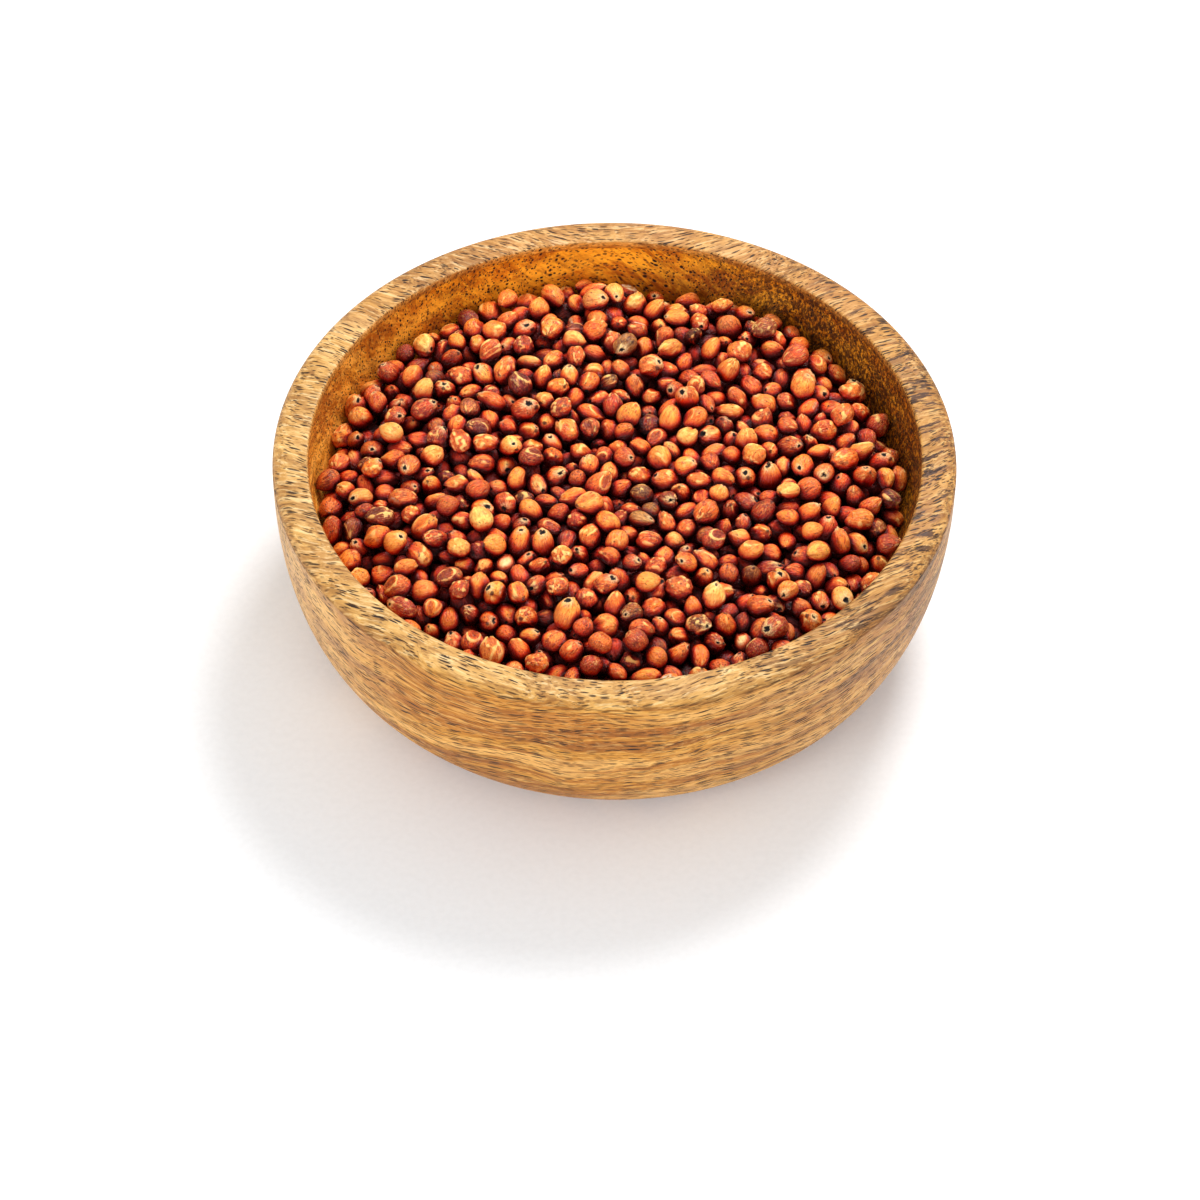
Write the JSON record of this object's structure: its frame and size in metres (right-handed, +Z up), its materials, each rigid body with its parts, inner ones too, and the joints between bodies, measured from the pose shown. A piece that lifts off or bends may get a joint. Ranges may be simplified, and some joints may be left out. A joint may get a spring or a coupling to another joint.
{
  "type": "bowl of sorghum grain",
  "caption": "Small round turned wooden bowl with a thick rounded rim, filled almost to the lip with a gently domed heap of loose red sorghum grain.",
  "frame": {"origin": "centre of the bowl's flat foot, on the surface that it stands on", "axes": "+Z up along the bowl's axis, -Y towards the viewer"},
  "size_m": [0.115, 0.115, 0.0365],
  "materials": {
    "bowl_wood": "oiled honey-brown hardwood with fine dark pores and darker streaks, satin",
    "grain_bed": "loose red-brown seed in deep shade, matte",
    "red_grain": "smooth orange-brown to burgundy seed coat, satin",
    "pale_grain": "smooth cream seed coat, satin",
    "broken_grain": "floury white broken seed, matte"
  },
  "bodies": {
    "root": {"bowl": "bowl_wood", "broken_grain_back": "broken_grain", "broken_grain_front": "broken_grain", "broken_grain_right": "broken_grain", "grain_01": "red_grain", "grain_02": "red_grain", "grain_03": "red_grain", "grain_04": "red_grain", "grain_05": "red_grain", "grain_06": "red_grain", "grain_07": "red_grain", "grain_08": "red_grain", "grain_09": "red_grain", "grain_10": "red_grain", "grain_11": "red_grain", "grain_12": "red_grain", "grain_13": "red_grain", "grain_14": "red_grain", "grain_15": "red_grain", "grain_16": "red_grain", "grain_17": "red_grain", "grain_18": "red_grain", "grain_19": "red_grain", "grain_20": "red_grain", "grain_21": "red_grain", "grain_22": "red_grain", "grain_23": "red_grain", "grain_24": "red_grain", "grain_25": "red_grain", "grain_26": "red_grain", "grain_27": "red_grain", "grain_28": "red_grain", "grain_29": "red_grain", "grain_30": "red_grain", "grain_31": "red_grain", "grain_32": "red_grain", "grain_33": "red_grain", "grain_34": "red_grain", "grain_35": "red_grain", "grain_36": "red_grain", "grain_37": "red_grain", "grain_38": "red_grain", "grain_39": "red_grain", "grain_40": "red_grain", "grain_41": "red_grain", "grain_42": "red_grain", "grain_43": "red_grain", "grain_44": "red_grain", "grain_45": "red_grain", "grain_46": "red_grain", "grain_47": "red_grain", "grain_48": "red_grain", "grain_bed": "grain_bed", "pale_grain_back": "pale_grain", "pale_grain_bean": "pale_grain", "pale_grain_grey": "pale_grain", "pale_grain_side": "pale_grain"}
  },
  "joints": []
}
